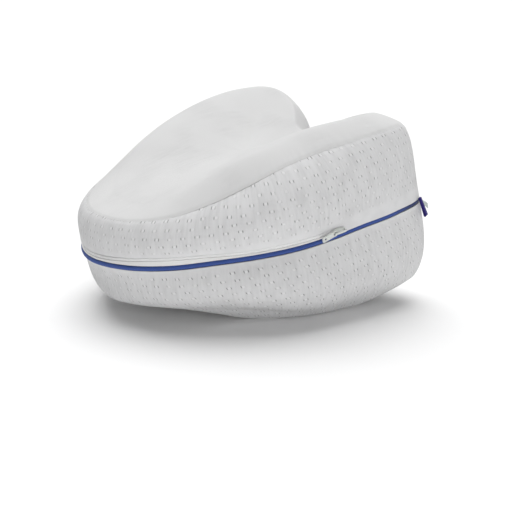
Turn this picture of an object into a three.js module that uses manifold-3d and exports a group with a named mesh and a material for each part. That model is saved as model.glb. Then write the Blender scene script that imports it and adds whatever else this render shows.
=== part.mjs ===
// Contoured knee pillow: a foam filled cushion with a rounded narrow end, two high lobes at its wide end
// and a leg channel on its top and on its underside. Its cover has smooth knit panels above and below,
// eyelet knit sides, a blue piping round its middle and a zip that runs round the narrow end.
// Millimetres. In the pillow's own frame the piping lies at height 0, +X is towards the wide end, +Z is up.
import * as THREE from 'three';
import { mergeVertices } from 'three/addons/utils/BufferGeometryUtils.js';
import Module from 'manifold-3d';

const wasm = await Module();
wasm.setup();

// Outline and heights at evenly spaced angles from the middle of the wide end, the same on both flanks.
// reach: from the centre to the piping. inset: how far the seam lies inside the piping. seam: height of the
// seam over the piping. crown: height of the panel's rim. belly: swell of the side. sag: more swell below.
const STATIONS = [
  { angle: 0, reach: 85, inset: 13, seam: 34, crown: 51, belly: -6, sag: 2 },
  { angle: 15, reach: 92, inset: 13, seam: 36, crown: 54, belly: -6, sag: 2 },
  { angle: 30, reach: 119, inset: 10, seam: 50, crown: 65, belly: -5, sag: 2 },
  { angle: 45, reach: 139, inset: 8, seam: 63, crown: 74, belly: -1.5, sag: 3 },
  { angle: 60, reach: 128, inset: 10, seam: 65, crown: 78, belly: 1, sag: 3 },
  { angle: 75, reach: 117, inset: 13, seam: 64, crown: 78, belly: 3, sag: 2 },
  { angle: 90, reach: 115, inset: 16, seam: 63, crown: 75, belly: 5, sag: 1 },
  { angle: 105, reach: 117, inset: 18, seam: 59, crown: 71, belly: 6, sag: 1 },
  { angle: 120, reach: 119, inset: 17, seam: 51, crown: 67, belly: 7, sag: 0 },
  { angle: 135, reach: 124, inset: 13, seam: 43, crown: 60, belly: 6, sag: 0 },
  { angle: 150, reach: 136, inset: 10, seam: 37, crown: 48, belly: 4, sag: -1 },
  { angle: 165, reach: 146, inset: 10, seam: 35, crown: 41, belly: 0, sag: -2 },
  { angle: 180, reach: 151, inset: 11, seam: 36, crown: 40, belly: -2, sag: -3.5 },
];
const SADDLE = 49; // height of the channel's floor at the centre
const SADDLE_LIFT = 12; // mean rise from there to the rim, and how much of it goes with the flanks
const SADDLE_SWAY = 13;
const RIM = 0.83; // share of the way out at which the panel is at its crown
const SHOULDER = 0.8; // share of the way out at which the panel starts to fall to the seam
const FALL_POWER = 1.5;
const INSET_POWER = 5;

// Rest on a flat surface
const REST_TILT = 9; // degrees by which the wide end sits higher
const PRESSED = 2.5; // depth by which the underside is pressed flat where it touches

// Cover
const GAP = 0.3; // space between neighbouring pieces
const PANEL = 2.5; // thickness of the padded knit of the top and bottom panels
const SEAT_GAP = 0.8; // space under a panel
const SEAM_GAP = 0.4;
const SEAM_TUCK = 0.8; // depth of the valley that the sewn seam draws
const PIPING_RADIUS = 2.1;
const PIPING_SUNK = 1.4; // from the side's surface in to the piping's middle
const PIPING_GROOVE = 2.6; // radius of the drawn-in seam that holds the piping

// Zip, in heights over the piping's middle and degrees from the wide end
const ZIP_START = 85;
const ZIP_END = 275;
const ZIP_FOOT = 2.6; // what lies higher than this follows the zip's rise
const ZIP_RISE = { height: 2.8, span: 60 }; // the zip bows up once on either side of the tip
const ZIP_POCKET = { low: 1.8, high: 7, depth: 1.6, past: 2 };
const ZIP_STRIPS = [
  { name: 'zip_tape', low: ZIP_FOOT, high: 4.2, inner: -1.2, outer: -0.1 },
  { name: 'zip_chain', low: 4.5, high: 6.7, inner: -1.2, outer: 0.4 },
];
const SLIDER_ANGLE = 271.8;
const SLIDER = { length: 12, width: 4.6, nose: 1.4, foot: 0.7, thick: 1.7, edge: 0.3, height: 6.1 };
const BRIDGE = { leg: 0.9, width: 1.6, half: 4.9, top: 5.4, clear: 4.5, round: 0.5, sunk: 0.4 };
const PULL = {
  ring: 2.5, eye: 1.6, length: 12, width: 4.6, corner: 0.9,
  hole: 1, inset: 2.6, thick: 1.1, lift: 3, droop: 11,
};
const CHAIN_END = 5; // degrees by which the chain stops short, under the slider

// Ribbon loop and bare label, both sewn into the piping seam behind the near lobe
const LOOP = {
  angle: -48.5, width: 4.5, ribbon: 0.9, slot: 0.6, rise: 3.6, drop: -10.8, root: 2.1, out: 5.9, bend: 0.25,
};
const LABEL = { angle: -44.5, width: 4.5, thick: 1, root: 1.2, out: 6.2, top: -2.9, drop: -5, twist: 80 };

// Resolution
const AROUND = 72;
const PANEL_ROWS = [0, 0.2, 0.4, 0.56, 0.68, 0.76, 0.82, 0.87, 0.93, 0.975];
const SIDE_ROWS = [0.96, 0.88, 0.74, 0.56, 0.38, 0.2];
const GROOVE_SIDES = 6;
const PIPING_SIDES = 8;
const STEP = 5; // degrees along the zip
const SMALL = 1e-3; // step by which a surface is followed to find its normal
const NEAR_SEAM = 0.995; // share at which the panel's normal at its seam is taken
const WELD = 1e-4;

const rad = THREE.MathUtils.degToRad;
const UP = new THREE.Vector3(0, 0, 1);

// Smooth values of the station table at any angle in radians
function station(angle) {
  const last = STATIONS.length - 1;
  const turned = Math.abs(Math.atan2(Math.sin(angle), Math.cos(angle)));
  const place = (turned / Math.PI) * last;
  const index = Math.min(Math.floor(place), last - 1);
  const part = place - index;
  const pick = (i) => STATIONS[i < 0 ? -i : i > last ? 2 * last - i : i];
  const [a, b, c, d] = [pick(index - 1), pick(index), pick(index + 1), pick(index + 2)];
  const values = {};
  for (const key of Object.keys(b)) {
    const slope = c[key] - a[key];
    const bend = 2 * a[key] - 5 * b[key] + 4 * c[key] - d[key];
    const twist = 3 * (b[key] - c[key]) + d[key] - a[key];
    values[key] = b[key] + 0.5 * part * (slope + part * (bend + part * twist));
  }
  return values;
}

function polar(radius, angle, height) {
  return new THREE.Vector3(radius * Math.cos(angle), radius * Math.sin(angle), height);
}

// Side of the pillow at a height over or under the piping
function sidePoint(angle, height) {
  const s = station(angle);
  const share = Math.abs(height) / s.seam;
  const swell = (s.belly + (height < 0 ? s.sag : 0)) * Math.sin(Math.PI * share);
  return polar(s.reach + swell - s.inset * share ** INSET_POWER, angle, height);
}

// Upper panel at a share of the way from the centre to the seam
function panelPoint(angle, share) {
  const s = station(angle);
  const outward = Math.min(share / RIM, 1);
  const plain = SADDLE_LIFT - SADDLE_SWAY * Math.cos(2 * angle);
  const lift = plain + (s.crown - SADDLE - plain) * outward ** 2;
  const fall = (Math.max(share - SHOULDER, 0) / (1 - SHOULDER)) ** FALL_POWER;
  const height = SADDLE + lift * Math.sin((Math.PI / 2) * outward) ** 2 - (s.crown - s.seam) * fall;
  return polar((s.reach - s.inset) * share, angle, height);
}

// Unit vector square to a surface of two parameters
function square(surface, first, second) {
  const alongFirst = surface(first + SMALL, second).sub(surface(first - SMALL, second));
  const alongSecond = surface(first, second + SMALL).sub(surface(first, second - SMALL));
  return alongFirst.cross(alongSecond).normalize();
}

function sideOut(angle, height) {
  return square(sidePoint, angle, height);
}

function panelOut(angle, share) {
  if (share === 0) return UP.clone();
  return square(panelPoint, angle, Math.min(share, NEAR_SEAM)).negate();
}

function sideOffset(angle, height, out) {
  return sidePoint(angle, height).addScaledVector(sideOut(angle, height), out);
}

function panelOffset(angle, share, depth) {
  return panelPoint(angle, share).addScaledVector(panelOut(angle, share), -depth);
}

// Turns a point of the upper half into its twin of the lower half
function below(point) {
  return new THREE.Vector3(point.x, point.y, -point.z);
}

// The surface the pillow rests on, seen from the pillow's own frame
const restUp = new THREE.Vector3(Math.sin(rad(REST_TILT)), 0, Math.cos(rad(REST_TILT)));

function lowestHeight() {
  let lowest = Infinity;
  for (let i = 0; i < AROUND; i += 1) {
    for (const share of PANEL_ROWS) {
      const point = below(panelPoint((2 * Math.PI * i) / AROUND, share));
      lowest = Math.min(lowest, point.dot(restUp));
    }
  }
  return lowest;
}

const restHeight = lowestHeight() + PRESSED;

// Presses a point of the underside up to the resting surface, or to a clearance over it
function pressed(point, clearance) {
  const short = restHeight + clearance - point.dot(restUp);
  return short > 0 ? point.addScaledVector(restUp, short) : point;
}

// Moves the vertices of a ready made geometry and welds it into one closed body
function reshape(geometry, place) {
  const position = geometry.getAttribute('position');
  const uv = geometry.getAttribute('uv');
  for (let i = 0; i < position.count; i += 1) {
    const from = new THREE.Vector3().fromBufferAttribute(position, i);
    const to = place(uv.getX(i), uv.getY(i), from);
    position.setXYZ(i, to.x, to.y, to.z);
  }
  return weld(geometry);
}

function weld(geometry) {
  const bare = geometry.clone();
  bare.deleteAttribute('normal');
  bare.deleteAttribute('uv');
  return mergeVertices(bare, WELD);
}

// A ball whose rings are moved to the given rows, from the upper pole to the lower one
function ringBody(rows) {
  const ball = new THREE.SphereGeometry(1, AROUND, rows.length - 1);
  return reshape(ball, (u, v) => {
    const row = Math.round((1 - v) * (rows.length - 1));
    const turn = Math.round(u * AROUND) % AROUND;
    return rows[row]((2 * Math.PI * turn) / AROUND);
  });
}

// A height on the zip, raised where the zip bows up
function zipHeight(degrees, height) {
  const share = Math.min(Math.abs(degrees - 180) / ZIP_RISE.span, 1);
  return height > ZIP_FOOT ? height + ZIP_RISE.height * Math.sin(Math.PI * share) ** 2 : height;
}

// A long strip of the zip, between two angles, two heights and two depths
function zipStrip(from, to, low, high, inner, outer) {
  const steps = Math.max(1, Math.round((to - from) / STEP));
  const box = new THREE.BoxGeometry(1, 1, 1, steps, 1, 1);
  return reshape(box, (u, v, p) => {
    const degrees = THREE.MathUtils.lerp(from, to, p.x + 0.5);
    const height = zipHeight(degrees, p.y < 0 ? low : high);
    return sideOffset(rad(degrees), height, THREE.MathUtils.lerp(inner, outer, p.z + 0.5));
  });
}

function toManifold(geometry) {
  const vertProperties = new Float32Array(geometry.getAttribute('position').array);
  const triVerts = new Uint32Array(geometry.index.array);
  return new wasm.Manifold(new wasm.Mesh({ numProp: 3, vertProperties, triVerts }));
}

function fromManifold(solid) {
  const mesh = solid.getMesh();
  const geometry = new THREE.BufferGeometry();
  geometry.setAttribute('position', new THREE.BufferAttribute(mesh.vertProperties, 3));
  geometry.setIndex(new THREE.BufferAttribute(mesh.triVerts, 1));
  return geometry;
}

// The filled cushion: seats for the two panels, the upper and lower side, and the drawn-in piping seam
function pillowBody() {
  const seat = PANEL + SEAT_GAP;
  const upper = PANEL_ROWS.map((share) => (angle) => panelOffset(angle, share, seat));
  upper.push((angle) => panelOffset(angle, 1, seat));
  upper.push((angle) => panelOffset(angle, 1, SEAM_TUCK));
  const lower = upper.map((row) => (angle) => pressed(below(row(angle)), seat)).reverse();
  const side = (share) => (angle) => sidePoint(angle, share * station(angle).seam);
  const sideUp = SIDE_ROWS.map((share) => side(share));
  const sideDown = SIDE_ROWS.map((share) => side(-share)).reverse();
  const open = Math.acos(PIPING_SUNK / PIPING_GROOVE);
  const groove = [];
  for (let i = 0; i <= GROOVE_SIDES; i += 1) {
    const turn = THREE.MathUtils.lerp(open, 2 * Math.PI - open, i / GROOVE_SIDES);
    groove.push((angle) => seamPoint(angle, PIPING_GROOVE, turn));
  }
  const whole = toManifold(ringBody([...upper, ...sideUp, ...groove, ...sideDown, ...lower]));
  const spare = THREE.MathUtils.radToDeg(GAP / station(rad(ZIP_START)).reach);
  const { low, high, depth, past } = ZIP_POCKET;
  const pocket = zipStrip(ZIP_START - spare, ZIP_END + spare, low, high, -depth, past);
  return fromManifold(whole.subtract(toManifold(pocket)));
}

// A point on a circle round the piping's middle, with turn 0 pointing out of the pillow
function seamPoint(angle, radius, turn) {
  const out = sideOut(angle, 0).setZ(0).normalize();
  const centre = sidePoint(angle, 0).addScaledVector(out, -PIPING_SUNK);
  return centre.addScaledVector(out, radius * Math.cos(turn)).addScaledVector(UP, radius * Math.sin(turn));
}

// One knit panel: its outer face, the tucked edge at the seam and its inner face
function panel(isTop) {
  const edge = (angle) => 1 - SEAM_GAP / (station(angle).reach - station(angle).inset);
  const faces = [
    ...PANEL_ROWS.map((share) => (angle) => [panelOffset(angle, share, 0), 0]),
    (angle) => [panelOffset(angle, edge(angle), SEAM_TUCK), 0],
    (angle) => [panelOffset(angle, edge(angle), PANEL), PANEL],
    ...PANEL_ROWS.toReversed().map((share) => (angle) => [panelOffset(angle, share, PANEL), PANEL]),
  ];
  if (isTop) return ringBody(faces.map((face) => (angle) => face(angle)[0]));
  const under = faces.map((face) => (angle) => {
    const [point, clearance] = face(angle);
    return pressed(below(point), clearance);
  });
  return ringBody(under.reverse());
}

function piping() {
  const ring = new THREE.TorusGeometry(1, 0.5, PIPING_SIDES, AROUND);
  return reshape(ring, (u, v) => {
    const turn = Math.round(u * AROUND) % AROUND;
    return seamPoint((2 * Math.PI * turn) / AROUND, PIPING_RADIUS, 2 * Math.PI * v);
  });
}

function tapeOrChain(strip) {
  const end = strip.name === 'zip_chain' ? ZIP_END - CHAIN_END : ZIP_END;
  return zipStrip(ZIP_START, end, strip.low, strip.high, strip.inner, strip.outer);
}

// Slider: a leaf-shaped plate whose nose points away from the chain, with a bridge that holds the pull
function zipSlider() {
  const { length, width, nose, foot, thick, edge } = SLIDER;
  const outline = new THREE.Shape();
  outline.moveTo(-length / 2, -width / 3);
  outline.quadraticCurveTo(-length / 8, -width * 0.7, length / 2, -nose / 2);
  outline.lineTo(length / 2, nose / 2);
  outline.quadraticCurveTo(-length / 8, width * 0.7, -length / 2, width / 3);
  const bevel = { bevelThickness: edge, bevelSize: edge, bevelOffset: -edge, bevelSegments: 1 };
  const plate = new THREE.ExtrudeGeometry(outline, { depth: thick - 2 * edge, curveSegments: 4, ...bevel });
  plate.translate(0, 0, foot + edge);
  return fromManifold(toManifold(weld(plate)).add(toManifold(weld(bridge()))));
}

// The bridge is an arch along the slider, cut from a flat plate and stood on its edge
function bridge() {
  const { leg, half, top, clear, width, round, sunk } = BRIDGE;
  const foot = SLIDER.foot + SLIDER.thick - sunk;
  const arch = new THREE.Shape();
  arch.moveTo(-half - leg / 2, foot);
  arch.lineTo(-half + leg / 2, foot);
  arch.lineTo(-half + leg / 2, clear - round);
  arch.quadraticCurveTo(-half + leg / 2, clear, -half + leg, clear);
  arch.lineTo(half - leg, clear);
  arch.quadraticCurveTo(half - leg / 2, clear, half - leg / 2, clear - round);
  arch.lineTo(half - leg / 2, foot);
  arch.lineTo(half + leg / 2, foot);
  arch.lineTo(half + leg / 2, clear);
  arch.quadraticCurveTo(half + leg / 2, top, half - leg, top);
  arch.lineTo(-half + leg, top);
  arch.quadraticCurveTo(-half - leg / 2, top, -half - leg / 2, clear);
  const bar = new THREE.ExtrudeGeometry(arch, { depth: width, bevelEnabled: false, curveSegments: 3 });
  bar.translate(0, 0, -width / 2);
  bar.rotateX(Math.PI / 2);
  return bar;
}

// Pull: a ring round the bridge's leg that runs out into a flat tab with a small hole
function zipPull() {
  const { ring, eye, length, width, corner, hole, inset, thick } = PULL;
  const side = Math.asin(width / 2 / ring);
  const outline = new THREE.Shape();
  outline.absarc(0, 0, ring, Math.PI + side, Math.PI - side + 2 * Math.PI, false);
  outline.lineTo(corner - length, width / 2);
  outline.quadraticCurveTo(-length, width / 2, -length, width / 2 - corner);
  outline.lineTo(-length, corner - width / 2);
  outline.quadraticCurveTo(-length, -width / 2, corner - length, -width / 2);
  const eyeHole = new THREE.Path();
  eyeHole.absarc(0, 0, eye, 0, 2 * Math.PI, true);
  const tabHole = new THREE.Path();
  tabHole.absarc(inset - length, 0, hole, 0, 2 * Math.PI, true);
  outline.holes.push(eyeHole, tabHole);
  const plate = new THREE.ExtrudeGeometry(outline, { depth: thick, bevelEnabled: false, curveSegments: 8 });
  return weld(plate);
}

// A ribbon folded back on itself that springs from the seam and hangs down over the lower side
function ribbonLoop() {
  const { width, ribbon, slot, rise, drop, root, out, bend } = LOOP;
  const fold = new THREE.Vector2(out, drop);
  const down = fold.clone().sub(new THREE.Vector2(root, rise));
  const leg = down.length();
  down.normalize();
  const aside = new THREE.Vector2(-down.y, down.x);
  const radius = (slot + ribbon) / 2;
  const box = new THREE.BoxGeometry(1, 1, 1, 12, 1, 1);
  return reshape(box, (u, v, p) => {
    const reach = Math.abs(p.x);
    const turn = (Math.PI / 2) * Math.min(1, reach / bend) * Math.sign(p.x);
    const back = (leg * Math.max(0, reach - bend)) / (0.5 - bend);
    const facing = down.clone().multiplyScalar(Math.cos(turn)).addScaledVector(aside, Math.sin(turn));
    const at = fold.clone().addScaledVector(facing, radius + p.y * ribbon).addScaledVector(down, -back);
    return new THREE.Vector3(at.x, p.z * width, at.y);
  });
}

// A short bare label that hangs out of the seam under the piping and turns on edge towards its free end
function bareLabel() {
  const { width, thick, root, out, top, drop, twist } = LABEL;
  const box = new THREE.BoxGeometry(1, 1, 1, 5, 1, 1);
  return reshape(box, (u, v, p) => {
    const share = p.x + 0.5;
    const turn = rad(twist * share);
    const across = p.y * width;
    const through = p.z * thick;
    const side = across * Math.cos(turn) - through * Math.sin(turn);
    const height = across * Math.sin(turn) + through * Math.cos(turn);
    return new THREE.Vector3(THREE.MathUtils.lerp(root, out, share), side, top + drop * share + height);
  });
}

function material(color, roughness, metalness = 0) {
  return new THREE.MeshStandardMaterial({ color, roughness, metalness });
}

const sideKnit = material(0xd6d6d8, 0.95);
const panelKnit = material(0xe2e2e4, 0.9);
const blueCord = material(0x3f5c9e, 0.7);
const whiteTape = material(0xe6e6e6, 0.8);
const whiteCoil = material(0xdcdcdc, 0.5);
const whiteLacquer = material(0xdadcd8, 0.35, 0.2);
const indigoRibbon = material(0x2a1f85, 0.6);
const paleLabel = material(0xd3dcd6, 0.7);

const pillow = new THREE.Group();

function addMesh(parent, name, geometry, finish) {
  const mesh = new THREE.Mesh(geometry, finish);
  mesh.name = name;
  parent.add(mesh);
  return mesh;
}

// A group that stands on the side: its x axis runs along the side, y up the side and z out of it
function onSide(angle, height) {
  const out = sideOut(rad(angle), height);
  const along = UP.clone().cross(out).normalize();
  const seat = new THREE.Group();
  seat.quaternion.setFromRotationMatrix(new THREE.Matrix4().makeBasis(along, out.clone().cross(along), out));
  seat.position.copy(sidePoint(rad(angle), height));
  pillow.add(seat);
  return seat;
}

// A group at the piping seam: its x axis points out of the pillow and z is up
function atSeam(angle) {
  const out = sideOut(rad(angle), 0).setZ(0).normalize();
  const seat = new THREE.Group();
  seat.quaternion.setFromRotationMatrix(new THREE.Matrix4().makeBasis(out, UP.clone().cross(out), UP));
  seat.position.copy(sidePoint(rad(angle), 0));
  pillow.add(seat);
  return seat;
}

addMesh(pillow, 'pillow_body', pillowBody(), sideKnit);
addMesh(pillow, 'top_panel', panel(true), panelKnit);
addMesh(pillow, 'bottom_panel', panel(false), panelKnit);
addMesh(pillow, 'piping', piping(), blueCord);
for (const strip of ZIP_STRIPS) {
  addMesh(pillow, strip.name, tapeOrChain(strip), strip.name === 'zip_chain' ? whiteCoil : whiteTape);
}

const sliderSeat = onSide(SLIDER_ANGLE, SLIDER.height);
addMesh(sliderSeat, 'zip_slider', zipSlider(), whiteLacquer);
const pull = addMesh(sliderSeat, 'zip_pull', zipPull(), whiteLacquer);
pull.position.set(-BRIDGE.half, 0, PULL.lift);
pull.rotation.z = rad(PULL.droop);

addMesh(atSeam(LOOP.angle), 'ribbon_loop', ribbonLoop(), indigoRibbon);
addMesh(atSeam(LABEL.angle), 'bare_label', bareLabel(), paleLabel);

// The pillow lies on its underside, its lowest flats at height 0 and its outline centred over the origin
pillow.rotation.y = -rad(REST_TILT);
pillow.position.z = -restHeight;
pillow.updateMatrixWorld(true);
const centre = new THREE.Box3().setFromObject(pillow, true).getCenter(new THREE.Vector3());
pillow.position.x = -centre.x;
pillow.position.y = -centre.y;

const kneePillow = new THREE.Group();
kneePillow.add(pillow);

export default kneePillow;
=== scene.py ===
import math

import bmesh
import bpy
import numpy as np
from mathutils import Matrix, Vector


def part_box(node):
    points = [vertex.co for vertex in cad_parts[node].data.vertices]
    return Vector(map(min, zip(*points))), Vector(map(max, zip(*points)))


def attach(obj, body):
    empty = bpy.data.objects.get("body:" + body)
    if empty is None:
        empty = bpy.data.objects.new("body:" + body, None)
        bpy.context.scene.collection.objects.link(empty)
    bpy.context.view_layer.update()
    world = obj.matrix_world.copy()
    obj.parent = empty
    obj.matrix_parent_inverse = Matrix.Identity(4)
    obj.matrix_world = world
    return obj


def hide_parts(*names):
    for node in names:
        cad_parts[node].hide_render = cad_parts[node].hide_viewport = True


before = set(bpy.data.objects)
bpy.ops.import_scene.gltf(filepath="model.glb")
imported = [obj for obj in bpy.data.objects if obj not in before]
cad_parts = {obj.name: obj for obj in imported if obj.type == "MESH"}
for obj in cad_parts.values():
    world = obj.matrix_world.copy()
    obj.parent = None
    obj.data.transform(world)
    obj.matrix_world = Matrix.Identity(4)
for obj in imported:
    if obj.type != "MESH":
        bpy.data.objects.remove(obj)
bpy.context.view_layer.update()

bl_info = {
    "name": "Knee Pillow",
    "version": (1, 0, 0),
    "blender": (4, 5, 0),
    "location": "3D View > Sidebar > Knee Pillow",
    "description": "Builds a contoured knee pillow with a piped and zipped knit cover",
    "category": "Object",
}

# Sizes are millimetres in the pillow's own frame: its piping lies at height 0, +X is towards the wide end
# and angles are counted from there. Points are turned and moved to the resting place as they are written.
MM = 0.001
TURN = 2 * math.pi

# Outline and heights every 15 degrees from the middle of the wide end, the same on both flanks
STATION_KEYS = ("reach", "inset", "seam", "crown", "belly", "sag")
STATIONS = (
    (85, 13, 34, 51, -6, 2),
    (92, 13, 36, 54, -6, 2),
    (119, 10, 50, 65, -5, 2),
    (139, 8, 63, 74, -1.5, 3),
    (128, 10, 65, 78, 1, 3),
    (117, 13, 64, 78, 3, 2),
    (115, 16, 63, 75, 5, 1),
    (117, 18, 59, 71, 6, 1),
    (119, 17, 51, 67, 7, 0),
    (124, 13, 43, 60, 6, 0),
    (136, 10, 37, 48, 4, -1),
    (146, 10, 35, 41, 0, -2),
    (151, 11, 36, 40, -2, -3.5),
)
SADDLE, SADDLE_LIFT, SADDLE_SWAY = 49, 12, 13
RIM, SHOULDER, FALL_POWER, INSET_POWER = 0.83, 0.8, 1.5, 5
REST_TILT = math.radians(9)

# Cover
PANEL, SEAT_GAP, SEAM_GAP = 2.5, 0.8, 0.05
SEAT_SHARES = (0, 0.2, 0.4, 0.56, 0.68, 0.76, 0.82, 0.87, 0.93, 0.975)
UNDER_SEAM = 0.86  # share of the way out at which the seam of the underside lies, past the rim it rests on
SEAM_TUCK, TUCK_WIDTH = 0.7, 2.0  # depth and half width of the valley along the sewn seams
SEAM_SLANT = 1.4  # length along the surface near a seam for each millimetre of height or reach
PUCKER, PUCKER_REACH = 0.16, 7  # height of the soft puckers beside a seam and how far they run
SWELL = 0.3  # height of the slow unevenness of the filling
PIPING_RADIUS, PIPING_SUNK = 2.1, 1.4  # the piping at its roundest
CORD_RADIUS, CORD_GROOVE = 1.85, 2.15  # as the seam draws it in
CORNER, CORNER_WIDTH, CORNER_PINCH = 49, 9, 0.2  # where a lobe's corner pinches it, in degrees and a share
PINCH_SHADE_FADE, PINCH_SHADE_COLOUR = (34, 8), (0.035, 0.042, 0.095)  # painted shade on the piping where it tucks in there: the lengths over which it fades out, and its colour
RIM_ROWS, GROOVE_ROWS, CORD_ROWS = 15, 11, 17
SEAT_WEAVE, SEAT_WEAVE_SPAN = 170, 90  # weave of the hidden seats: at a panel's middle, and how much it drops
FINE = 1441  # angles at which lengths along the piping are measured

# Unevenness of the cover: the most waves that run round the pillow, and how tall one is
STITCHES, PUCKERS, SWELLS, CORD_WAVES = (260, 50), (150, 60), (9, 90), (90, 50)
WAVES_SUMMED = 9
SIDE_SEED, TOP_SEED, UNDER_SEED, CORD_SEED = 3, 11, 17, 5
STITCH_DEPTH, CORD_UNEVEN = 0.22, 0.025  # shares of the tuck and of the cord's radius
CALM_SEAM, CALM_PIPING, CALM_MIDDLE = 15, 14, 0.35  # where the swell dies out: two lengths and a share
PANEL_SPAN = 60  # about how far a panel reaches, for its swell

# Zip, in heights over the piping's middle and degrees from the wide end
ZIP_START, ZIP_END, CHAIN_END = 85, 273.6, 270
ZIP_RISE, ZIP_RISE_SPAN = 2.8, 60  # the zip bows up once on either side of the tip
POCKET_HIGH, POCKET_DEPTH, POCKET_WALL, ABOVE_POCKET = 7.0, 1.6, 0.25, 10.8
TAPE_LOW, TAPE_HIGH, TAPE_INNER, TAPE_OUTER = 2.6, 4.2, -1.2, -0.1
CHAIN_LOW, CHAIN_HIGH, CHAIN_OUTER = 4.5, 6.7, -0.4
COIL_PITCH, COIL_WIRE, COIL_TALL, COIL_DEEP, COIL_APART = 1.25, 0.2, 0.44, 0.26, 0.9
COIL_STEPS, WIRE_SIDES, ZIP_STEPS = 12, 6, 240
TAPE_CORNER, CHAIN_CORNER = 0.25, 0.2
POCKET_END = (0.5, 0.15)  # degrees past the zip between which its pocket runs out
HERRINGBONE = 1.4

# Ribbon loop and label, in the seam's own frame: out of the pillow, along the seam and up
LOOP_ANGLE, LOOP_WIDTH, LOOP_THICK, LOOP_BEND = -48.5, 4.5, 0.9, 0.25
LOOP_SLOT_ROOT, LOOP_SLOT_FOLD, LOOP_GATHER = 0.05, 0.6, 0.6
LOOP_ROOT, LOOP_FOLD = (2.1, 3.6), (5.9, -10.8)
LOOP_LENGTH, LOOP_EDGE, LOOP_LEG_STEPS, LOOP_BEND_STEPS = 40, (1.5, 2.1), 12, 33
LABEL_ANGLE, LABEL_WIDTH, LABEL_THICK, LABEL_TWIST = -44.5, 4.5, 1.0, 80
LABEL_ROOT, LABEL_OUT, LABEL_TOP, LABEL_DROP = 1.2, 6.2, -2.9, -5
LABEL_LENGTH, LABEL_STEPS, RIBBON_CORNER = 14, 30, 0.3

# Eyelet knit of the sides: a pair of dashes repeats along a row, and each row is shifted by a third
REPEAT, ROW_PITCH, PAIR_GAP = 10.3, 5.4, 3.1
DASH_WIDTH, DASH_LENGTH, DASH_LEAN, LEAN_FADE = 0.6, 1.9, 0.36, (0, 4)
EYELETS_ABOVE, EYELETS_BELOW = (10, 16), (3, 7)  # heights from the piping over which the eyelets set in

# Camera in the pillow's own frame, for a picture of 512 by 512 pixels
CAMERA_AZIMUTH, CAMERA_ELEVATION = math.radians(-29.601), math.radians(18.851)
CAMERA_ROLL, CAMERA_DISTANCE = math.radians(7.84), 1003.5
PIXELS_PER_MM, MIDDLE_U, MIDDLE_V, IMAGE, SENSOR = 1.195, 253.04, 205.99, 512, 36

# Light: an even sky that is white to the eye and weak as light, a wide softbox overhead and a low fill from
# the front. Each lamp has its strength, its spread in degrees and the direction that it comes from.
SKY_STRENGTH = 0.14
LIGHTS = {"overhead_softbox": (3.05, 66, (0.18, 0.36, 1.0)), "front_fill": (1.63, 50, (-0.3, -0.95, 0.1))}
FLOOR_COLOUR, FLOOR_ROUGHNESS, FLOOR_REACH = (0.96, 0.96, 0.96), 0.9, 14  # its reach is in metres


# Surfaces of the pillow

def station(angle):
    """Smooth values of the station table at an array of angles in radians."""
    table = np.array(STATIONS, float)
    last = len(table) - 1
    turned = np.abs(np.arctan2(np.sin(angle), np.cos(angle)))
    place = turned / math.pi * last
    index = np.minimum(np.floor(place).astype(int), last - 1)
    part = (place - index)[..., None]

    def pick(i):
        i = np.abs(i)
        return table[np.where(i > last, 2 * last - i, i)]

    a, b, c, d = pick(index - 1), pick(index), pick(index + 1), pick(index + 2)
    bend = 2 * a - 5 * b + 4 * c - d
    twist = 3 * (b - c) + d - a
    value = b + 0.5 * part * ((c - a) + part * (bend + part * twist))
    return dict(zip(STATION_KEYS, np.moveaxis(value, -1, 0)))


def side(angle, height):
    """Points on the side of the pillow at angles and heights."""
    s = station(angle)
    share = np.abs(height) / s["seam"]
    swell = (s["belly"] + np.where(height < 0, s["sag"], 0)) * np.sin(math.pi * share)
    radius = s["reach"] + swell - s["inset"] * share ** INSET_POWER
    return np.stack([radius * np.cos(angle), radius * np.sin(angle), height + 0 * angle], -1)


def panel(angle, share):
    """Points on the upper panel at angles and shares of the way out to the seam."""
    s = station(angle)
    outward = np.minimum(share / RIM, 1)
    plain = SADDLE_LIFT - SADDLE_SWAY * np.cos(2 * angle)
    lift = plain + (s["crown"] - SADDLE - plain) * outward ** 2
    fall = (np.maximum(share - SHOULDER, 0) / (1 - SHOULDER)) ** FALL_POWER
    height = SADDLE + lift * np.sin(math.pi / 2 * outward) ** 2 - (s["crown"] - s["seam"]) * fall
    radius = (s["reach"] - s["inset"]) * share
    return np.stack([radius * np.cos(angle), radius * np.sin(angle), height], -1)


def square_to(surface, first, second, small=1e-3):
    """Unit vectors square to a surface of two parameters."""
    along = surface(first + small, second) - surface(first - small, second)
    across = surface(first, second + small) - surface(first, second - small)
    out = np.cross(along, across)
    return out / np.linalg.norm(out, axis=-1, keepdims=True)


def side_offset(angle, height, out):
    height = height + 0 * angle
    return side(angle, height) + square_to(side, angle, height) * (out + 0 * angle)[..., None]


def panel_offset(angle, share, depth):
    share = share + 0 * angle
    inward = square_to(panel, angle, np.clip(share, 0.004, 0.995))
    inward = np.where((share < 1e-6)[..., None], (0, 0, -1), inward)
    return panel(angle, share) + inward * (depth + 0 * angle)[..., None]


def seam_frame(angle):
    """The foot of the piping seam and its direction out of the pillow, level."""
    out = square_to(side, angle, 0 * angle) * (1, 1, 0)
    return side(angle, 0 * angle), out / np.linalg.norm(out, axis=-1, keepdims=True)


def seam_circle(angle, radius, turn):
    """Points on circles round the piping's middle, with turn 0 pointing out of the pillow."""
    foot, out = seam_frame(angle)
    point = foot + out * (radius * np.cos(turn) - PIPING_SUNK + 0 * angle)[..., None]
    point[..., 2] += radius * np.sin(turn)
    return point


def tilted(points):
    """Points or directions turned as the pillow rests."""
    cos, sin = math.cos(REST_TILT), math.sin(REST_TILT)
    x, y, z = points[..., 0], points[..., 1], points[..., 2]
    return np.stack([x * cos - z * sin, y, x * sin + z * cos], -1)


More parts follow.
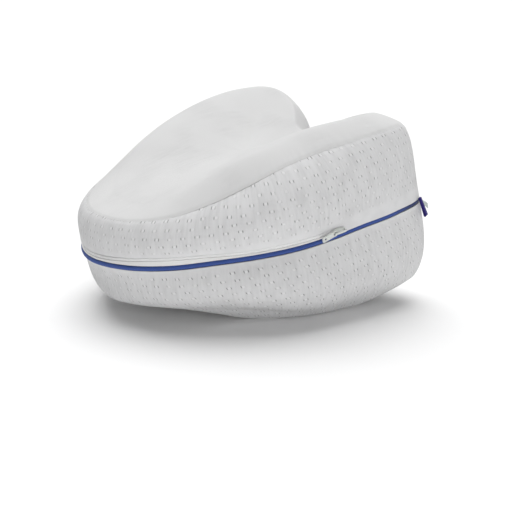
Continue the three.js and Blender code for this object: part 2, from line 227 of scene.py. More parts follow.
def resting_place():
    """Where the middle of the pillow's own frame lies in the row frame, found from the piping's box."""
    angle, turn = np.meshgrid(np.arange(72) * TURN / 72, np.arange(8) * TURN / 8)
    ring = tilted(seam_circle(angle, PIPING_RADIUS, turn)).reshape(-1, 3)
    low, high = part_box("piping")
    return np.array((Vector(low) + Vector(high)) / 2) / MM - (ring.min(0) + ring.max(0)) / 2


PLACE = resting_place()


def to_row(points):
    return (tilted(points) + PLACE) * MM


def under(points):
    """Points of the upper half mirrored to the underside."""
    return points * (1, 1, -1)


def pressed(points, clearance):
    """Points of the underside, pressed up to a clearance over the surface that the pillow rests on."""
    up = np.array((math.sin(REST_TILT), 0, math.cos(REST_TILT)))
    short = clearance - PLACE[2] - points @ up
    return points + np.maximum(short, 0)[..., None] * up


def arc_lengths():
    """Length along the piping line, from the middle of the wide end, as a function of the angle."""
    angle = np.linspace(0, TURN, FINE)
    steps = np.linalg.norm(np.diff(side(angle, 0 * angle), axis=0), axis=-1)
    length = np.concatenate([[0], np.cumsum(steps)])
    return lambda a: np.interp(a, angle, length)


ALONG = arc_lengths()
ROUND = float(ALONG(TURN))
REPEATS = round(ROUND / REPEAT)


def size(name):
    """A length from the settings, in millimetres."""
    return getattr(bpy.context.scene.knee_pillow, name) / MM


def waves(angle, height, seed, most, tall):
    """A smooth seeded unevenness round the pillow, mostly between -1 and 1."""
    rng = np.random.default_rng(seed)
    total = 0 * angle
    for _ in range(WAVES_SUMMED):
        turns = rng.integers(max(1, most // 2), most + 1)
        rise = rng.uniform(-1, 1) * TURN / tall
        total = total + np.sin(turns * angle + rise * height + rng.uniform(0, TURN))
    return total / (WAVES_SUMMED / 2)


def seam_draw(angle, away, seed):
    """How far a seam draws the cloth in, at a distance away from it along the surface."""
    stitch = 1 + STITCH_DEPTH * waves(angle, 0, seed, *STITCHES)
    pucker = waves(angle, away, seed + 1, *PUCKERS) * np.exp(-away / PUCKER_REACH)
    return size("seam_tuck") * stitch * np.exp(-((away / TUCK_WIDTH) ** 2)) + PUCKER * pucker


def panel_reach(angle):
    """How far a panel's seam lies from the pillow's middle."""
    s = station(angle)
    return s["reach"] - s["inset"]


def panel_face(angle, share, seed, seam):
    """Outer face of a knit panel, drawn in along its seam."""
    away = (seam - share) * panel_reach(angle) * SEAM_SLANT
    calm = min(share / CALM_MIDDLE, 1) * np.clip(away / CALM_SEAM, 0, 1)
    swell = size("swell") * calm * waves(angle, share * PANEL_SPAN, seed, *SWELLS)
    return panel_offset(angle, share, seam_draw(angle, away, seed) - swell)


def soft_step(value, low, high):
    share = np.clip((value - low) / (high - low), 0, 1)
    return share * share * (3 - 2 * share)


def zip_span(angle):
    """1 where the zip runs and 0 elsewhere, with steep ends."""
    turned = np.degrees(np.mod(angle, TURN))
    far, near = POCKET_END
    begun = soft_step(turned, ZIP_START - far, ZIP_START - near)
    return begun * soft_step(-turned, -ZIP_END - far, -ZIP_END - near)


def zip_rise(angle):
    """How far the zip bows up at an angle."""
    turned = np.abs(np.degrees(np.mod(angle, TURN)) - 180)
    return ZIP_RISE * np.sin(math.pi * np.minimum(turned / ZIP_RISE_SPAN, 1)) ** 2


def side_face(angle, height, seed):
    """Outer face of a side strip, drawn in along its panel seam and set back for the zip."""
    s = station(angle)
    away = (s["seam"] - np.abs(height)) * SEAM_SLANT
    calm = np.clip(away / CALM_SEAM, 0, 1) * np.clip(np.abs(height) / CALM_PIPING, 0, 1)
    away = away + np.where(height < 0, (1 - UNDER_SEAM) * panel_reach(angle), 0)
    over = height - zip_rise(angle)
    upright = np.where(height > 0, soft_step(-over, -POCKET_HIGH - POCKET_WALL, -POCKET_HIGH), 0)
    draw = seam_draw(angle, away, seed) + POCKET_DEPTH * zip_span(angle) * upright
    return side_offset(angle, height, size("swell") * calm * waves(angle, height, seed, *SWELLS) - draw)


# Meshes

def woven_grid(points, weave):
    """A grid of faces from rows of points in the pillow's frame, with its weave as UVs; where rows or columns
    meet they are joined, and open ends are closed."""
    rows, columns = points.shape[:2]
    bm = bmesh.new()
    bmesh.ops.create_grid(bm, x_segments=columns - 1, y_segments=rows - 1, size=1)
    uv = bm.loops.layers.uv.new("weave")
    row_points = to_row(points)
    cell = {}
    for v in bm.verts:
        cell[v] = (round((v.co.y + 1) / 2 * (rows - 1)), round((v.co.x + 1) / 2 * (columns - 1)))
    for face in bm.faces:
        for loop in face.loops:
            loop[uv].uv = weave[cell[loop.vert]] * MM
    for v, at in cell.items():
        v.co = row_points[at]
    bmesh.ops.remove_doubles(bm, verts=bm.verts, dist=1e-6)
    open_edges = [edge for edge in bm.edges if edge.is_boundary]
    if open_edges:
        bmesh.ops.holes_fill(bm, edges=open_edges, sides=0)
    bmesh.ops.recalc_face_normals(bm, faces=bm.faces)
    return bm


def new_piece(name, bm, slot, *nodes, sharp=50):
    """Makes an object that rides on the pillow, stands for its nodes and has its slot's material."""
    mesh = bpy.data.meshes.new(name)
    bm.to_mesh(mesh)
    bm.free()
    mesh.polygons.foreach_set("use_smooth", [True] * len(mesh.polygons))
    mesh.set_sharp_from_angle(angle=math.radians(sharp))
    piece = bpy.data.objects.new(name, mesh)
    bpy.context.scene.collection.objects.link(piece)
    mesh.materials.append(finish_of(slot))
    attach(piece, "root")
    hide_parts(*nodes)
    return piece


def ring_grid(rows, columns):
    """A closed body from rows that go round the pillow, each a pair of functions of the angle that give its
    points and its weave."""
    angle = np.linspace(0, TURN, columns + 1)
    points = np.stack([place(angle) for place, _ in rows])
    weave = np.stack([np.stack(flat(angle), -1) for _, flat in rows])
    return woven_grid(points, weave)


def rounded_section(low, high, inner, outer, corner, steps=3):
    """A closed outline of (across, through) pairs with round corners."""
    outline = []
    middles = ((high, outer, 0), (low, outer, 1), (low, inner, 2), (high, inner, 3))
    for across, through, quarter in middles:
        a = across - corner if across == high else across + corner
        b = through - corner if through == outer else through + corner
        for i in range(steps + 1):
            turn = (quarter + i / steps) * math.pi / 2
            outline.append((a + corner * math.cos(turn), b + corner * math.sin(turn)))
    return outline + outline[:1]


def swept_grid(section, along, place, length):
    """A closed strip: a section of (across, through) pairs carried along by place(along, across, through)."""
    points = np.stack([place(along, across + 0 * along, through + 0 * along) for across, through in section])
    span = (along - along[0]) / (along[-1] - along[0]) * length
    weave = np.stack([np.stack([span, across + 0 * along], -1) for across, _ in section])
    return woven_grid(points, weave)


# Materials: expressions on sockets

class Value:
    """A shader socket that takes part in expressions."""

    def __init__(self, tree, socket):
        self.tree, self.socket = tree, socket

    def maths(self, operation, *values):
        return add_node(self.tree, "ShaderNodeMath", {"operation": operation}, values)

    def __add__(self, other):
        return self.maths("ADD", self, other)

    def __radd__(self, other):
        return self.maths("ADD", other, self)

    def __sub__(self, other):
        return self.maths("SUBTRACT", self, other)

    def __rsub__(self, other):
        return self.maths("SUBTRACT", other, self)

    def __mul__(self, other):
        return self.maths("MULTIPLY", self, other)

    def __rmul__(self, other):
        return self.maths("MULTIPLY", other, self)

    def __truediv__(self, other):
        return self.maths("DIVIDE", self, other)

    def larger(self, other):
        return self.maths("MAXIMUM", self, other)

    def absolute(self):
        return self.maths("ABSOLUTE", self)

    def floor(self):
        return self.maths("FLOOR", self)

    def fraction(self):
        return self.maths("FRACT", self)

    def sine(self):
        return self.maths("SINE", self)

    def smooth(self, low, high):
        """0 at low and 1 at high, with soft ends."""
        mapped = {"Value": self, "From Min": low, "From Max": high}
        return add_node(self.tree, "ShaderNodeMapRange", {"interpolation_type": "SMOOTHSTEP"}, mapped)

    def fade(self, low, high):
        """As smooth, between two lengths in millimetres."""
        return self.smooth(low * MM, high * MM)


def add_node(tree, kind, settings=None, values=(), output=0):
    """Adds any node: its settings first, then the values or links of its sockets."""
    made = tree.nodes.new(kind)
    for key, value in (settings or {}).items():
        setattr(made, key, value)
    pairs = values.items() if isinstance(values, dict) else enumerate(values)
    for key, value in pairs:
        if isinstance(value, Value):
            tree.links.new(value.socket, made.inputs[key])
        else:
            made.inputs[key].default_value = value
    return Value(tree, made.outputs[output])


class Finish:
    """A material being made: its nodes, coordinates and shader."""

    def __init__(self, name, roughness, sheen=0.0, coat=0.0, specular=0.2):
        self.material = bpy.data.materials.new(name + "_finish")
        self.material.use_nodes = True
        self.tree = self.material.node_tree
        self.shader = self.tree.nodes["Principled BSDF"]
        for key, value in (("Roughness", roughness), ("Sheen Weight", sheen), ("Coat Weight", coat),
                           ("Specular IOR Level", specular)):
            self.shader.inputs[key].default_value = value
        self.uv = add_node(self.tree, "ShaderNodeTexCoord", output="UV")

    def parts(self):
        """The weave's two directions, in metres."""
        return [add_node(self.tree, "ShaderNodeSeparateXYZ", {}, [self.uv], i) for i in (0, 1)]

    def stretched(self, scale, turn=0.0):
        values = {"Vector": self.uv, "Rotation": (0, 0, math.radians(turn)), "Scale": scale}
        return add_node(self.tree, "ShaderNodeMapping", {}, values)

    def noise(self, scale, detail=2.0, vector=None):
        return add_node(self.tree, "ShaderNodeTexNoise", {}, {
            "Vector": vector or self.uv, "Scale": scale, "Detail": detail})

    def wave(self, length, along):
        """A sine of the given wavelength in millimetres."""
        return (along * (TURN / (length * MM))).sine()

    def mix(self, factor, first, second):
        values = {0: factor, 6: first, 7: second}
        return add_node(self.tree, "ShaderNodeMix", {"data_type": "RGBA"}, values, 2)

    def colour(self, value):
        self.link("Base Color", value)

    def roughness(self, value):
        self.link("Roughness", value)

    def bump(self, height, distance, strength):
        values = {"Strength": strength, "Distance": distance * MM, "Height": height}
        self.link("Normal", add_node(self.tree, "ShaderNodeBump", {}, values))

    def link(self, key, value):
        self.tree.links.new(value.socket, self.shader.inputs[key])


def shade(look, by):
    return (look[0] * by, look[1] * by, look[2] * by, 1)


def side_knit(look):
    """Eyelet knit: fine wales, and rows of pairs of short upright dashes, each row shifted by a third, with a
    painted highlight on the cloth between the two dashes of a pair.
    """
    finish = Finish("side_knit", 0.92, sheen=0.05)
    x, y = finish.parts()
    drift = finish.noise(60) - 0.5
    across = x / (ROUND / REPEATS * MM) + drift * 0.3
    up = y / (ROW_PITCH * MM) + drift * 0.4
    row = up.fraction() - 0.5
    lean = row * (y * -1).fade(*LEAN_FADE) * (DASH_LEAN * ROW_PITCH / REPEAT)
    place = (across + up.floor() / 3 + lean).fraction() - 0.5
    near = (place.absolute() - PAIR_GAP / REPEAT / 2) * (REPEAT / size("dash_width") * 2)
    tall = row * (ROW_PITCH / size("dash_length") * 2)
    between = place * (REPEAT / PAIR_GAP * 2.4)
    patterned = y.fade(*EYELETS_ABOVE).larger((y * -1).fade(*EYELETS_BELOW))
    dash = (near * near + tall * tall).smooth(1.7, 0.35)
    dash = dash * patterned * (finish.noise(170, 2).smooth(0.38, 0.6) * 0.9 + 0.1)
    # painted highlight: the cloth between the two dashes of a pair is lightened
    highlight_spot = (between * between + tall * tall).smooth(1.3, 0.2) * patterned
    streak = finish.noise(430, 3, finish.stretched((1, 0.1, 1)))
    mottle = finish.noise(75, 3).smooth(0.38, 0.66)
    light = finish.mix(patterned, shade(look, 1.05), look)
    streaked = finish.mix((streak - 0.5) * patterned * 1.8 + mottle * 0.3 + 0.12, light, shade(look, 0.84))
    lit = finish.mix(highlight_spot * 0.6, streaked, shade(look, 1.16))
    finish.colour(finish.mix(dash * 0.95, lit, shade(look, 0.38)))
    knit = finish.wave(1.1, x) * finish.wave(0.9, y)
    finish.bump(knit * 0.1 + streak * patterned * 0.5 + highlight_spot * 0.4 - dash * 1.2, 0.5, 0.7)
    return finish.material


def panel_knit(look):
    """Smooth fine jersey, with faint short ripples whose shade is also painted into the colour."""
    finish = Finish("panel_knit", 0.94, sheen=0.05)
    x, y = finish.parts()
    ripple = finish.noise(190, 2, finish.stretched((0.25, 1.3, 1), 28))
    patch = finish.noise(22, 1).smooth(0.42, 0.62)
    # painted shade: the colour darkens along the ripples
    finish.colour(finish.mix(ripple * patch, look, shade(look, 0.93)))
    knit = finish.wave(1.0, x) * finish.wave(0.8, y)
    finish.bump(ripple * patch + knit * 0.04, 1.2, 0.6)
    return finish.material


def piping_cloth(look):
    """Blue covered cord, with fine slanting threads, and painted shade where it tucks in at the corners of
    the lobes.
    """
    finish = Finish("piping_cloth", 0.75, sheen=0.1)
    x, y = finish.parts()
    thread = finish.wave(0.8, x + y * 0.9)
    tone = finish.noise(90, 2)
    corner = ROUND / 2 - float(ALONG(math.radians(CORNER)))
    # painted shade: the cord darkens to navy near each lobe's corner, where it tucks into the pinch
    pinch_shade = ((x - ROUND / 2 * MM).absolute() - corner * MM).absolute().fade(*PINCH_SHADE_FADE)
    cloth = finish.mix(thread * 0.12 + tone * 0.45, look, shade(look, 0.62))
    finish.colour(finish.mix(pinch_shade * 0.7, cloth, (*PINCH_SHADE_COLOUR, 1)))
    finish.bump(thread * 0.4 + tone * 0.5, 0.3, 0.6)
    return finish.material


def zip_tape(look):
    """White woven tape, with a fine herringbone."""
    finish = Finish("zip_tape", 0.8, sheen=0.1)
    x, y = finish.parts()
    zig = ((y / (HERRINGBONE * MM)).fraction() - 0.5).absolute() * (HERRINGBONE * MM)
    line = finish.wave(0.7, x + zig)
    finish.colour(finish.mix(line * 0.14 + 0.14, look, shade(look, 0.82)))
    finish.bump(line, 0.25, 0.5)
    return finish.material


def zip_coil(look):
    """Satin white nylon, slightly uneven."""
    finish = Finish("zip_coil", 0.4, specular=0.5)
    tone = finish.noise(700, 2)
    finish.colour(finish.mix(tone * 0.4, look, shade(look, 0.85)))
    finish.roughness(tone * 0.2 + 0.35)
    return finish.material


def slider_lacquer(look):
    """Glossy white lacquer on cast metal, slightly dulled."""
    finish = Finish("slider_lacquer", 0.3, coat=0.4, specular=0.5)
    finish.uv = add_node(finish.tree, "ShaderNodeTexCoord", output="Object")
    tone = finish.noise(420, 3)
    finish.colour(finish.mix(tone.smooth(0.5, 0.75) * 0.35, look, shade(look, 0.7)))
    finish.roughness(tone * 0.22 + 0.2)
    finish.bump(tone, 0.1, 0.3)
    return finish.material


def loop_ribbon(look):
    """Satin indigo ribbon, with fine cross ribs and a firmer edge."""
    finish = Finish("loop_ribbon", 0.55, sheen=0.1)
    x, y = finish.parts()
    rib = finish.wave(0.7, x)
    edge = y.absolute().fade(*LOOP_EDGE)
    finish.colour(finish.mix(rib * 0.08 + edge * 0.3 + 0.2, look, shade(look, 0.6)))
    finish.bump(rib * 0.5 + edge, 0.15, 0.5)
    return finish.material


def label_cloth(look):
    """Pale woven satin, bare."""
    finish = Finish("label_cloth", 0.6, sheen=0.1)
    x, y = finish.parts()
    finish.colour(finish.mix(finish.noise(200) * 0.3, look, shade(look, 0.88)))
    finish.bump(finish.wave(0.5, x) * finish.wave(0.5, y), 0.1, 0.5)
    return finish.material


FINISHES = (side_knit, panel_knit, piping_cloth, zip_tape, zip_coil, slider_lacquer, loop_ribbon, label_cloth)


def finish_of(slot):
    """The material of a slot, made once, in the colour that the settings give."""
    if slot + "_finish" not in bpy.data.materials:
        make = {finish.__name__: finish for finish in FINISHES}[slot]
        make((*getattr(bpy.context.scene.knee_pillow, slot), 1))
    return bpy.data.materials[slot + "_finish"]


def colour_setting(label, default):
    return bpy.props.FloatVectorProperty(
        name=label, description=f"Colour of the {label.lower()}", default=default, subtype="COLOR", size=3,
        min=0, max=1)


def length_setting(label, description, default, most):
    """A length in the settings, given here in millimetres."""
    return bpy.props.FloatProperty(
        name=label, description=description, default=default * MM, min=0, max=most * MM, precision=5,
        unit="LENGTH")


def count_setting(label, description, default, least, most):
    return bpy.props.IntProperty(name=label, description=description, default=default, min=least, max=most)


class PillowSettings(bpy.types.PropertyGroup):
    """Sizes, colours and fineness of the knee pillow"""

    columns: count_setting("Columns", "Faces round the pillow", 480, 72, 720)
    panel_rows: count_setting("Panel Rows", "Rows of faces from a panel's middle to its seam", 56, 12, 120)
    side_rows: count_setting("Side Rows", "Rows of faces from the piping to a seam", 46, 12, 90)
    seam_tuck: length_setting("Seam Tuck", "Depth of the valley along the panel seams", SEAM_TUCK, 1.5)
    swell: length_setting("Swell", "Height of the slow unevenness of the filling", SWELL, 2)
    cord_radius: length_setting("Cord Radius", "Radius of the piping's cord", CORD_RADIUS, CORD_GROOVE)
    loop_width: length_setting("Loop Width", "Width of the ribbon loop", LOOP_WIDTH, 12)
    label_width: length_setting("Label Width", "Width of the bare label", LABEL_WIDTH, 12)
    dash_width: length_setting("Dash Width", "Width of a dash of the eyelet knit", DASH_WIDTH, 2)
    dash_length: length_setting("Dash Length", "Length of a dash of the eyelet knit", DASH_LENGTH, 5)
    side_knit: colour_setting("Side Knit", (0.70, 0.70, 0.705))
    panel_knit: colour_setting("Panel Knit", (0.70, 0.70, 0.70))
    piping_cloth: colour_setting("Piping", (0.055, 0.105, 0.36))
    zip_tape: colour_setting("Zip Tape", (0.84, 0.84, 0.83))
    zip_coil: colour_setting("Zip Chain", (0.84, 0.84, 0.84))
    slider_lacquer: colour_setting("Slider", (0.64, 0.66, 0.63))
    loop_ribbon: colour_setting("Ribbon Loop", (0.018, 0.008, 0.17))
    label_cloth: colour_setting("Label", (0.60, 0.65, 0.62))


def toward_seam(count, power=1.7):
    """Shares from 0 to 1 that lie closer together towards 1."""
    return 1 - (1 - np.linspace(0, 1, count)) ** power


class KNEE_OT_cushion(bpy.types.Operator):
    """Builds the filled cushion with its side strips of eyelet knit"""

    bl_idname = "knee.cushion"
    bl_label = "Filled Cushion"

    def execute(self, context):
        sizes = context.scene.knee_pillow
        seat = PANEL + SEAT_GAP
        edge = math.acos(PIPING_SUNK / CORD_GROOVE)
        deep_edge = math.acos((PIPING_SUNK - POCKET_DEPTH) / CORD_GROOVE)

        def lip(angle):
            return edge + (deep_edge - edge) * zip_span(angle)

        def row(place, height):
            return place, lambda a: (ALONG(a), height(a) + 0 * a)

        def side_row(height):
            return row(lambda a: side_face(a, height(a) + 0 * a, SIDE_SEED), height)

        def rim(angle, share):
            away = (share - UNDER_SEAM) * panel_reach(angle)
            return panel_offset(angle, share, seam_draw(angle, away, SIDE_SEED))

        def seat_weave(share):
            return SEAT_WEAVE - SEAT_WEAVE_SPAN * share

        seat_rows = [row(lambda a, q=q: panel_offset(a, q, seat), lambda a, q=q: seat_weave(q))
                     for q in (*SEAT_SHARES, 1)]
        rim_rows, low_seat_rows = [], []
        for share in np.linspace(1, UNDER_SEAM, RIM_ROWS)[1:]:
            rim_rows.append(row(
                lambda a, q=share: pressed(under(rim(a, q)), 0),
                lambda a, q=share: -station(a)["seam"] - (1 - q) * panel_reach(a)))
        for share in (1, *SEAT_SHARES[::-1]):
            low_seat_rows.append(row(
                lambda a, q=share * UNDER_SEAM: pressed(under(panel_offset(a, q, seat)), seat),
                lambda a, q=share: -seat_weave(q)))
        upper = [lambda a, t=t: ABOVE_POCKET + (station(a)["seam"] - ABOVE_POCKET) * t
                 for t in toward_seam(sizes.side_rows)[::-1]]
        upper += [lambda a, z=z: POCKET_HIGH + z * POCKET_WALL + zip_rise(a) for z in (2, 1, 0.5, 0)]
        upper += [lambda a, t=t: TAPE_LOW + (POCKET_HIGH - TAPE_LOW + zip_rise(a)) * t
                  for t in (0.75, 0.5, 0.25)]
        upper += [lambda a: CORD_GROOVE * np.sin(lip(a))]
        start = CORD_GROOVE * math.sin(edge)
        lower = [lambda a, t=t: -start - (station(a)["seam"] - start) * t
                 for t in toward_seam(sizes.side_rows)]
        groove = []
        for share in np.linspace(0, 1, GROOVE_ROWS)[1:-1]:
            groove.append(row(
                lambda a, t=share: seam_circle(a, CORD_GROOVE, lip(a) * (1 - t) + (TURN - edge) * t),
                lambda a, t=share: start * (1 - 2 * t)))
        rows = seat_rows + [side_row(h) for h in upper] + groove
        rows += [side_row(h) for h in lower] + rim_rows + low_seat_rows
        cushion = new_piece("filled_cushion", ring_grid(rows, sizes.columns), "side_knit", "pillow_body")
        return {"FINISHED"}


class KNEE_OT_panels(bpy.types.Operator):
    """Builds the smooth knit panels on top and below"""

    bl_idname = "knee.panels"
    bl_label = "Knit Panels"

    def execute(self, context):
        sizes = context.scene.knee_pillow

        def planar(place):
            return lambda a: tuple(np.moveaxis(place(a)[..., :2], -1, 0))

        for name, node, seed, below in (("top_knit_panel", "top_panel", TOP_SEED, False),
                                        ("bottom_knit_panel", "bottom_panel", UNDER_SEED, True)):
            seam = UNDER_SEAM if below else 1

            def end(angle):
                return seam - SEAM_GAP / panel_reach(angle)

            outer = [lambda a, q=q * seam: panel_face(a, q, seed, seam)
                     for q in toward_seam(sizes.panel_rows)[:-1]]
            outer.append(lambda a: panel_offset(a, end(a), seam_draw(a, 0 * a, seed)))
            inner = [lambda a: panel_offset(a, end(a), PANEL)]
            inner += [lambda a, q=q * seam: panel_offset(a, q, PANEL) for q in SEAT_SHARES[::-1]]
            rows = []
            for faces, clearance in ((outer, 0), (inner, PANEL)):
                for face in faces:
                    place = (lambda a, f=face, c=clearance: pressed(under(f(a)), c)) if below else face
                    rows.append((place, planar(face)))
            piece = new_piece(name, ring_grid(rows, sizes.columns), "panel_knit", node)
        return {"FINISHED"}


def cord_radius(angle):
    """Radius of the piping, uneven and pinched at the corners of the lobes."""
    turned = np.degrees(np.abs(np.arctan2(np.sin(angle), np.cos(angle))))
    pinch = CORNER_PINCH * np.exp(-(((turned - CORNER) / CORNER_WIDTH) ** 2))
    return size("cord_radius") * (1 - pinch + CORD_UNEVEN * waves(angle, 0, CORD_SEED, *CORD_WAVES))


class KNEE_OT_piping(bpy.types.Operator):
    """Builds the blue piping in the seam between the side strips"""

    bl_idname = "knee.piping"
    bl_label = "Piping"

    def execute(self, context):
        rows = []
        for turn in np.linspace(0, TURN, CORD_ROWS):
            rows.append((
                lambda a, t=turn: seam_circle(a, cord_radius(a), t),
                lambda a, t=turn: (ALONG(a), size("cord_radius") * t + 0 * a)))
        ring = ring_grid(rows, context.scene.knee_pillow.columns)
        new_piece("covered_piping", ring, "piping_cloth", "piping")
        return {"FINISHED"}


def along_zip(angle_degrees, height, out):
    """Points on the zip, which keeps its foot on the piping where it bows up."""
    angle = np.radians(angle_degrees)
    share = np.clip((height - TAPE_LOW) / (TAPE_HIGH - TAPE_LOW), 0, 1)
    return side_offset(angle, height + share * zip_rise(angle), out)


class KNEE_OT_zip(bpy.types.Operator):
    """Builds the tape and the coil chain of the zip"""

    bl_idname = "knee.zip"
    bl_label = "Zip"

    def execute(self, context):
        along = np.linspace(ZIP_START, ZIP_END, ZIP_STEPS)
        length = float(ALONG(math.radians(ZIP_END)) - ALONG(math.radians(ZIP_START)))
        section = rounded_section(TAPE_LOW, TAPE_HIGH, TAPE_INNER, TAPE_OUTER, TAPE_CORNER)
        new_piece("woven_tape", swept_grid(section, along, along_zip, length), "zip_tape", "zip_tape")
        chain = np.linspace(ZIP_START, CHAIN_END, ZIP_STEPS)
        section = rounded_section(CHAIN_LOW, CHAIN_HIGH, TAPE_INNER, CHAIN_OUTER, CHAIN_CORNER)
        new_piece("chain_strip", swept_grid(section, chain, along_zip, length), "zip_coil", "zip_chain")
        middle, apart = (CHAIN_LOW + CHAIN_HIGH) / 2, COIL_APART / 2
        for name, height, lag in (("lower_coil", middle - apart, 0), ("upper_coil", middle + apart, 0.5)):
            new_piece(name, coil(height, lag), "zip_coil", "zip_chain")
        return {"FINISHED"}


def coil(middle, lag):
    """One nylon coil of the chain, as a wire wound along the zip with its turns half sunk in the strip."""
    first, last = float(ALONG(math.radians(ZIP_START))) + 1, float(ALONG(math.radians(CHAIN_END))) - 1
    angle = np.linspace(math.radians(ZIP_START), math.radians(CHAIN_END), FINE)
    lengths = ALONG(angle)

    def place(turns, across, through):
        turn = TURN * (turns + lag)
        where = np.interp(first + turns * COIL_PITCH + across, lengths, angle)
        height = middle + (COIL_TALL + through) * np.cos(turn) + zip_rise(where)
        return side_offset(where, height, CHAIN_OUTER + (COIL_DEEP + through) * np.sin(turn))

    count = int((last - first) / COIL_PITCH)
    turned = [TURN * i / WIRE_SIDES for i in range(WIRE_SIDES + 1)]
    wire = [(COIL_WIRE * math.cos(turn), COIL_WIRE * math.sin(turn)) for turn in turned]
    return swept_grid(wire, np.linspace(0, count, count * COIL_STEPS + 1), place, last - first)


class KNEE_OT_slider(bpy.types.Operator):
    """Gives the zip's slider and pull their finish"""

    bl_idname = "knee.slider"
    bl_label = "Slider and Pull"

    def execute(self, context):
        for node in ("zip_slider", "zip_pull"):
            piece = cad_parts[node]
            piece.data.materials.clear()
            piece.data.materials.append(finish_of("slider_lacquer"))
        return {"FINISHED"}


def at_seam(angle_degrees, out, along, up):
    """Points given out of the pillow, along its piping seam and up, from a spot on that seam."""
    foot, outward = seam_frame(np.radians(np.array([float(angle_degrees)])))
    sideways = np.cross((0, 0, 1), outward[0])
    return (foot[0] + out[..., None] * outward[0] + along[..., None] * sideways
            + up[..., None] * np.array((0, 0, 1)))


def loop_point(share, across, through):
    """The folded ribbon, from its upper end round the fold to its lower end."""
    root, fold = np.array(LOOP_ROOT, float), np.array(LOOP_FOLD, float)
    leg = np.linalg.norm(fold - root)
    down = (fold - root) / leg
    aside = np.array((-down[1], down[0]))
    reach = np.abs(share)
    towards_root = soft_step(reach, LOOP_BEND / 2, 0.5)
    slot = LOOP_SLOT_FOLD + (LOOP_SLOT_ROOT - LOOP_SLOT_FOLD) * towards_root
    radius = (slot + LOOP_THICK) / 2 + through
    turn = math.pi / 2 * np.minimum(1, reach / LOOP_BEND) * np.sign(share)
    back = leg * np.maximum(0, reach - LOOP_BEND) / (0.5 - LOOP_BEND)
    facing = down * np.cos(turn)[:, None] + aside * np.sin(turn)[:, None]
    at = fold + facing * radius[:, None] - down * back[:, None]
    return at_seam(LOOP_ANGLE, at[:, 0], across * (1 + (LOOP_GATHER - 1) * towards_root), at[:, 1])


def label_point(share, across, through):
    """The bare label, which hangs out of the seam under the piping and turns on edge."""
    turn = np.radians(LABEL_TWIST * share)
    aside = across * np.cos(turn) - through * np.sin(turn)
    rise = across * np.sin(turn) + through * np.cos(turn)
    out = LABEL_ROOT + (LABEL_OUT - LABEL_ROOT) * share
    return at_seam(LABEL_ANGLE, out, aside, LABEL_TOP + LABEL_DROP * share + rise)


def ribbon_section(width_setting, thick):
    half, deep = size(width_setting) / 2, thick / 2
    return rounded_section(-half, half, -deep, deep, RIBBON_CORNER)


class KNEE_OT_trim(bpy.types.Operator):
    """Builds the folded ribbon loop and the bare label"""

    bl_idname = "knee.trim"
    bl_label = "Ribbon Loop and Label"

    def execute(self, context):
        leg = np.linspace(LOOP_BEND + 0.01, 0.5, LOOP_LEG_STEPS)
        bend = np.linspace(-LOOP_BEND, LOOP_BEND, LOOP_BEND_STEPS)
        share = np.concatenate([-leg[::-1], bend, leg])
        ribbon = swept_grid(ribbon_section("loop_width", LOOP_THICK), share, loop_point, LOOP_LENGTH)
        new_piece("folded_ribbon", ribbon, "loop_ribbon", "ribbon_loop")
        share = np.linspace(0, 1, LABEL_STEPS)
        tab = swept_grid(ribbon_section("label_width", LABEL_THICK), share, label_point, LABEL_LENGTH)
        new_piece("bare_tab", tab, "label_cloth", "bare_label")
        return {"FINISHED"}


class KNEE_OT_studio(bpy.types.Operator):
    """Builds the pale floor, the soft light and the camera"""

    bl_idname = "knee.studio"
    bl_label = "Studio"

    def execute(self, context):
        scene = context.scene
        scene.view_settings.view_transform = "Standard"
        bm = bmesh.new()
        bmesh.ops.create_grid(bm, x_segments=1, y_segments=1, size=FLOOR_REACH)
        mesh = bpy.data.meshes.new("floor")
        bm.to_mesh(mesh)
        bm.free()
        floor = bpy.data.objects.new("floor", mesh)
        scene.collection.objects.link(floor)
        paint = bpy.data.materials.new("floor_paint")
        paint.use_nodes = True
        shader = paint.node_tree.nodes["Principled BSDF"]
        shader.inputs["Base Color"].default_value = (*FLOOR_COLOUR, 1)
        shader.inputs["Roughness"].default_value = FLOOR_ROUGHNESS
        mesh.materials.append(paint)
        world = bpy.data.worlds.new("studio")
        world.use_nodes = True
        sky = world.node_tree.nodes["Background"]
        sky.inputs["Color"].default_value = (1, 1, 1, 1)
        seen = add_node(world.node_tree, "ShaderNodeLightPath") * (1 - SKY_STRENGTH) + SKY_STRENGTH
        world.node_tree.links.new(seen.socket, sky.inputs["Strength"])
        scene.world = world
        for name, (strength, spread, source) in LIGHTS.items():
            light = bpy.data.lights.new(name, "SUN")
            light.energy, light.angle = strength, math.radians(spread)
            lamp = bpy.data.objects.new(name, light)
            lamp.rotation_euler = Vector(source).to_track_quat("Z", "Y").to_euler()
            scene.collection.objects.link(lamp)
        scene.camera = make_camera(scene)
        return {"FINISHED"}


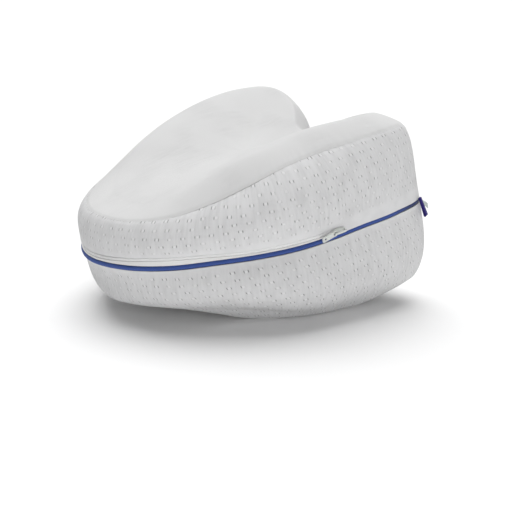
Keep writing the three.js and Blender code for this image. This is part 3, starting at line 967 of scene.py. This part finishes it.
def make_camera(scene):
    """The photograph's camera, aimed so that the pillow's middle falls where it does in the picture."""
    sin_a, cos_a = math.sin(CAMERA_AZIMUTH), math.cos(CAMERA_AZIMUTH)
    sin_e, cos_e = math.sin(CAMERA_ELEVATION), math.cos(CAMERA_ELEVATION)
    back = np.array((sin_a * cos_e, -cos_a * cos_e, sin_e))
    level = np.array((cos_a, sin_a, 0))
    upright = np.cross(back, level)
    right = level * math.cos(CAMERA_ROLL) - upright * math.sin(CAMERA_ROLL)
    up = level * math.sin(CAMERA_ROLL) + upright * math.cos(CAMERA_ROLL)
    focal = PIXELS_PER_MM * CAMERA_DISTANCE
    seen = Vector(((MIDDLE_U - IMAGE / 2) / focal, (IMAGE / 2 - MIDDLE_V) / focal, -1))
    aim = Vector((0, 0, -1)).rotation_difference(seen).inverted().to_matrix()
    basis = Matrix([tilted(axis) for axis in (right, up, back)]).transposed() @ aim
    data = bpy.data.cameras.new("camera")
    data.sensor_width = SENSOR
    data.lens = focal / IMAGE * SENSOR
    camera = bpy.data.objects.new("camera", data)
    camera.matrix_world = Matrix.Translation(to_row(back * CAMERA_DISTANCE)) @ basis.to_4x4()
    scene.collection.objects.link(camera)
    return camera


OPERATORS = (KNEE_OT_cushion, KNEE_OT_panels, KNEE_OT_piping, KNEE_OT_zip, KNEE_OT_slider, KNEE_OT_trim,
             KNEE_OT_studio)


class KNEE_PT_pillow(bpy.types.Panel):
    """Lists the pillow's settings and the steps that build it"""

    bl_idname = "KNEE_PT_pillow"
    bl_label = "Knee Pillow"
    bl_space_type = "VIEW_3D"
    bl_region_type = "UI"
    bl_category = "Knee Pillow"

    def draw(self, context):
        for name in PillowSettings.__annotations__:
            self.layout.prop(context.scene.knee_pillow, name)
        for operator in OPERATORS:
            self.layout.operator(operator.bl_idname)


CLASSES = (PillowSettings, *OPERATORS, KNEE_PT_pillow)


def register():
    for cls in CLASSES:
        bpy.utils.register_class(cls)
    bpy.types.Scene.knee_pillow = bpy.props.PointerProperty(type=PillowSettings)


def unregister():
    del bpy.types.Scene.knee_pillow
    for cls in reversed(CLASSES):
        bpy.utils.unregister_class(cls)


def main():
    register()
    for operator in OPERATORS:
        group, name = operator.bl_idname.split(".")
        getattr(getattr(bpy.ops, group), name)()


if __name__ == "__main__":
    main()
